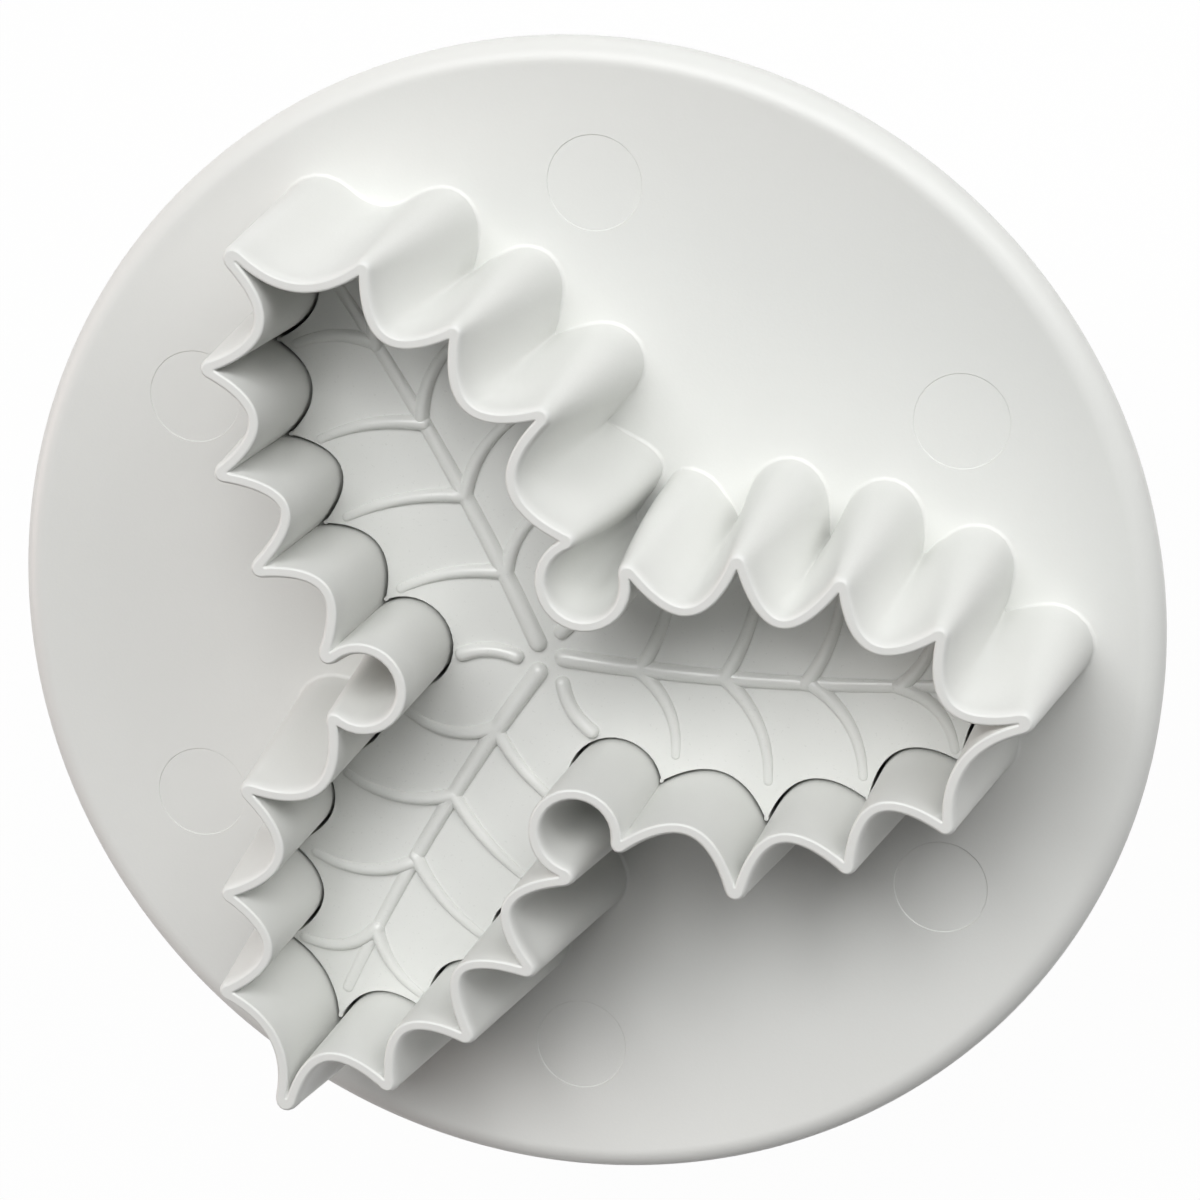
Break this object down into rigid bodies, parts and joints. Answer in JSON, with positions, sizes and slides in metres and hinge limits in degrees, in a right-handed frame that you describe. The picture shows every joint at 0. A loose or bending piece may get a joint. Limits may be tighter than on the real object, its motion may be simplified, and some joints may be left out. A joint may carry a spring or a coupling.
{
  "type": "plunger cutter",
  "caption": "Hand-held pastry cutter with a thin leaf-shaped cutting wall on a round flange and a spring-loaded veined embossing plate pressed out by a knob.",
  "frame": {"origin": "centre of the knob's flat end, the face that the cutter stands on", "axes": "+Z along the plunger's axis towards the cutting edge, +X along the midrib of the first leaf"},
  "size_m": [0.062, 0.062, 0.053],
  "materials": {
    "body_plastic": "fine satin moulding",
    "plate_plastic": "satin moulding",
    "stem_plastic": "smooth moulding",
    "knob_plastic": "fine satin moulding",
    "spring_steel": "drawn wire"
  },
  "bodies": {
    "cutter": {"cutter_body": "body_plastic", "return_spring": "spring_steel"},
    "plunger": {"embossing_plate": "plate_plastic", "plunger_stem": "stem_plastic", "plunger_knob": "knob_plastic"}
  },
  "joints": [
    {"name": "plunger_press", "type": "slide", "parent": "cutter", "child": "plunger", "axis": [0, 0, 1], "range_m": [0, 0.009], "stiffness_N_per_m": 400, "springref_m": -0.008, "deforming": ["return_spring"]}
  ]
}
